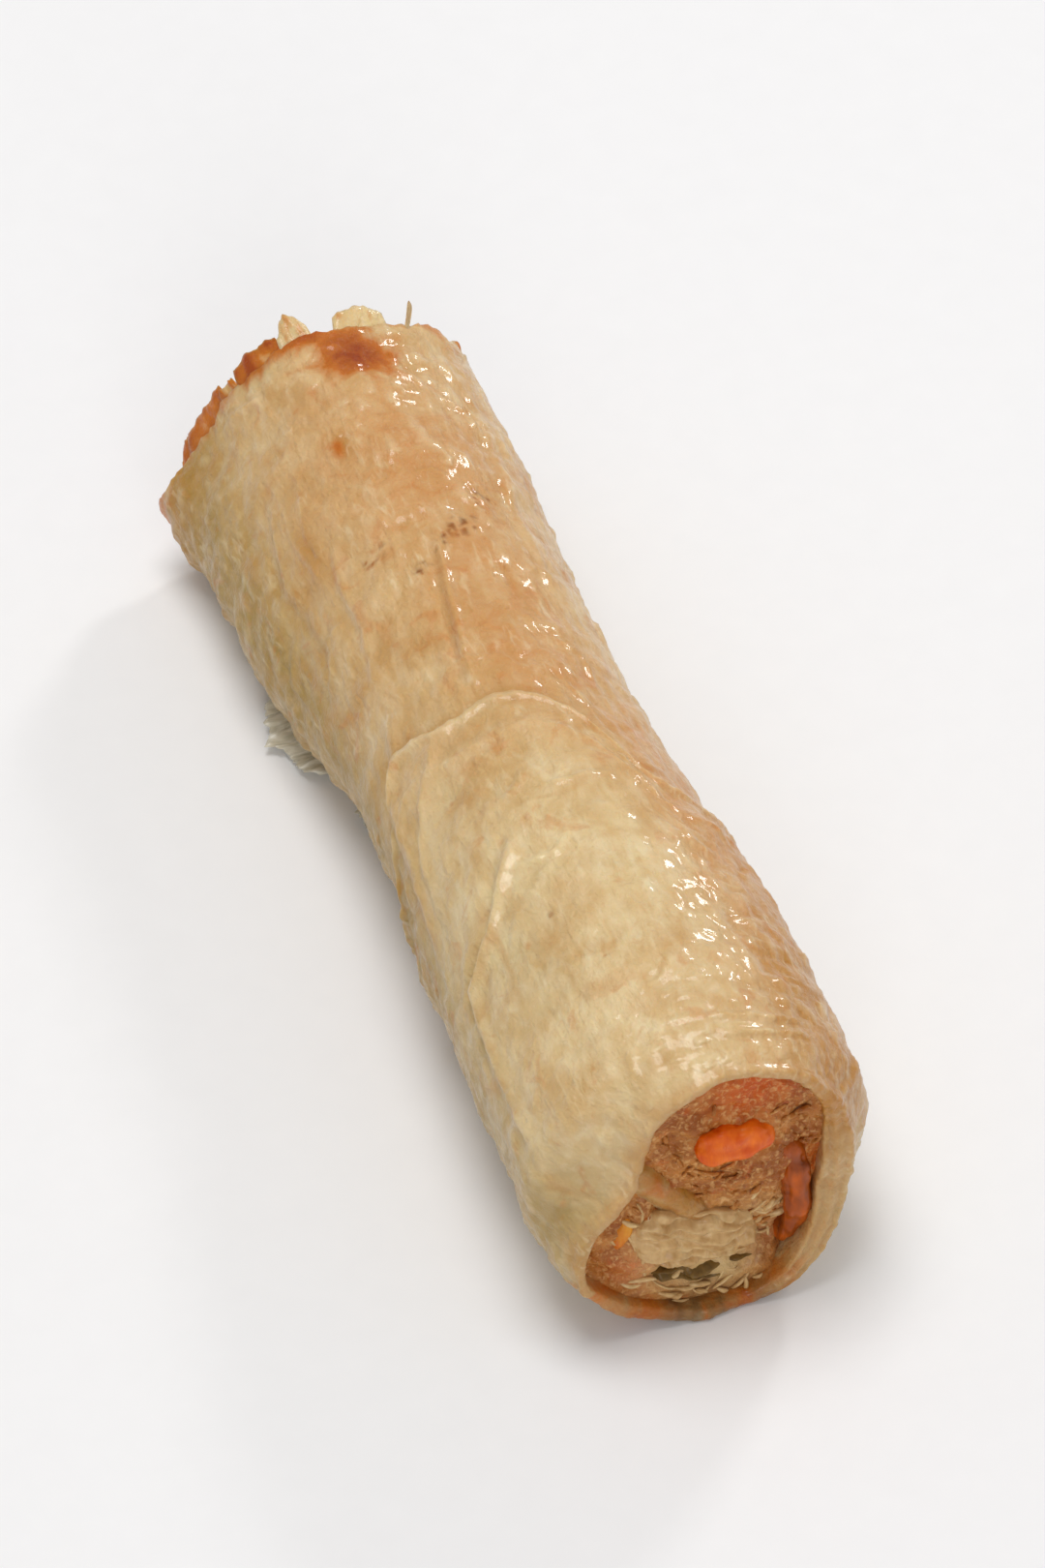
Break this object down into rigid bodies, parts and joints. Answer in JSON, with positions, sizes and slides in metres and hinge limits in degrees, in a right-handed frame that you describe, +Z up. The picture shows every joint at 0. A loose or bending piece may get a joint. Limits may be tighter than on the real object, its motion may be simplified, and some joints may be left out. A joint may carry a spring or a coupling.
{
  "type": "fried spring roll",
  "caption": "Fried rice-paper spring roll lying on its side, open at both ends, with a minced filling and cut vegetables showing in its mouth.",
  "frame": {"origin": "middle of the roll's footprint, on the surface that it lies on", "axes": "+Z up, the roll's length along Y, with its fuller open end, where the filling shows best, at -Y"},
  "size_m": [0.039, 0.1206, 0.0357],
  "materials": {
    "fried_rice_paper": "pale cream to tan fried rice paper, blistered, translucent at its edges, slightly oily",
    "minced_filling": "pinkish brown cooked mince with glass noodles, moist",
    "cooked_carrot": "orange cooked carrot, moist",
    "cooked_cabbage": "pale cream cooked cabbage, moist",
    "wood_ear_mushroom": "dark greenish brown mushroom, moist"
  },
  "bodies": {
    "root": {"rice_paper_wrapper": "fried_rice_paper", "minced_filling": "minced_filling", "carrot_chunk": "cooked_carrot", "carrot_strip": "cooked_carrot", "carrot_shred": "cooked_carrot", "cabbage_strip": "cooked_cabbage", "mushroom_sliver": "wood_ear_mushroom"}
  },
  "joints": []
}
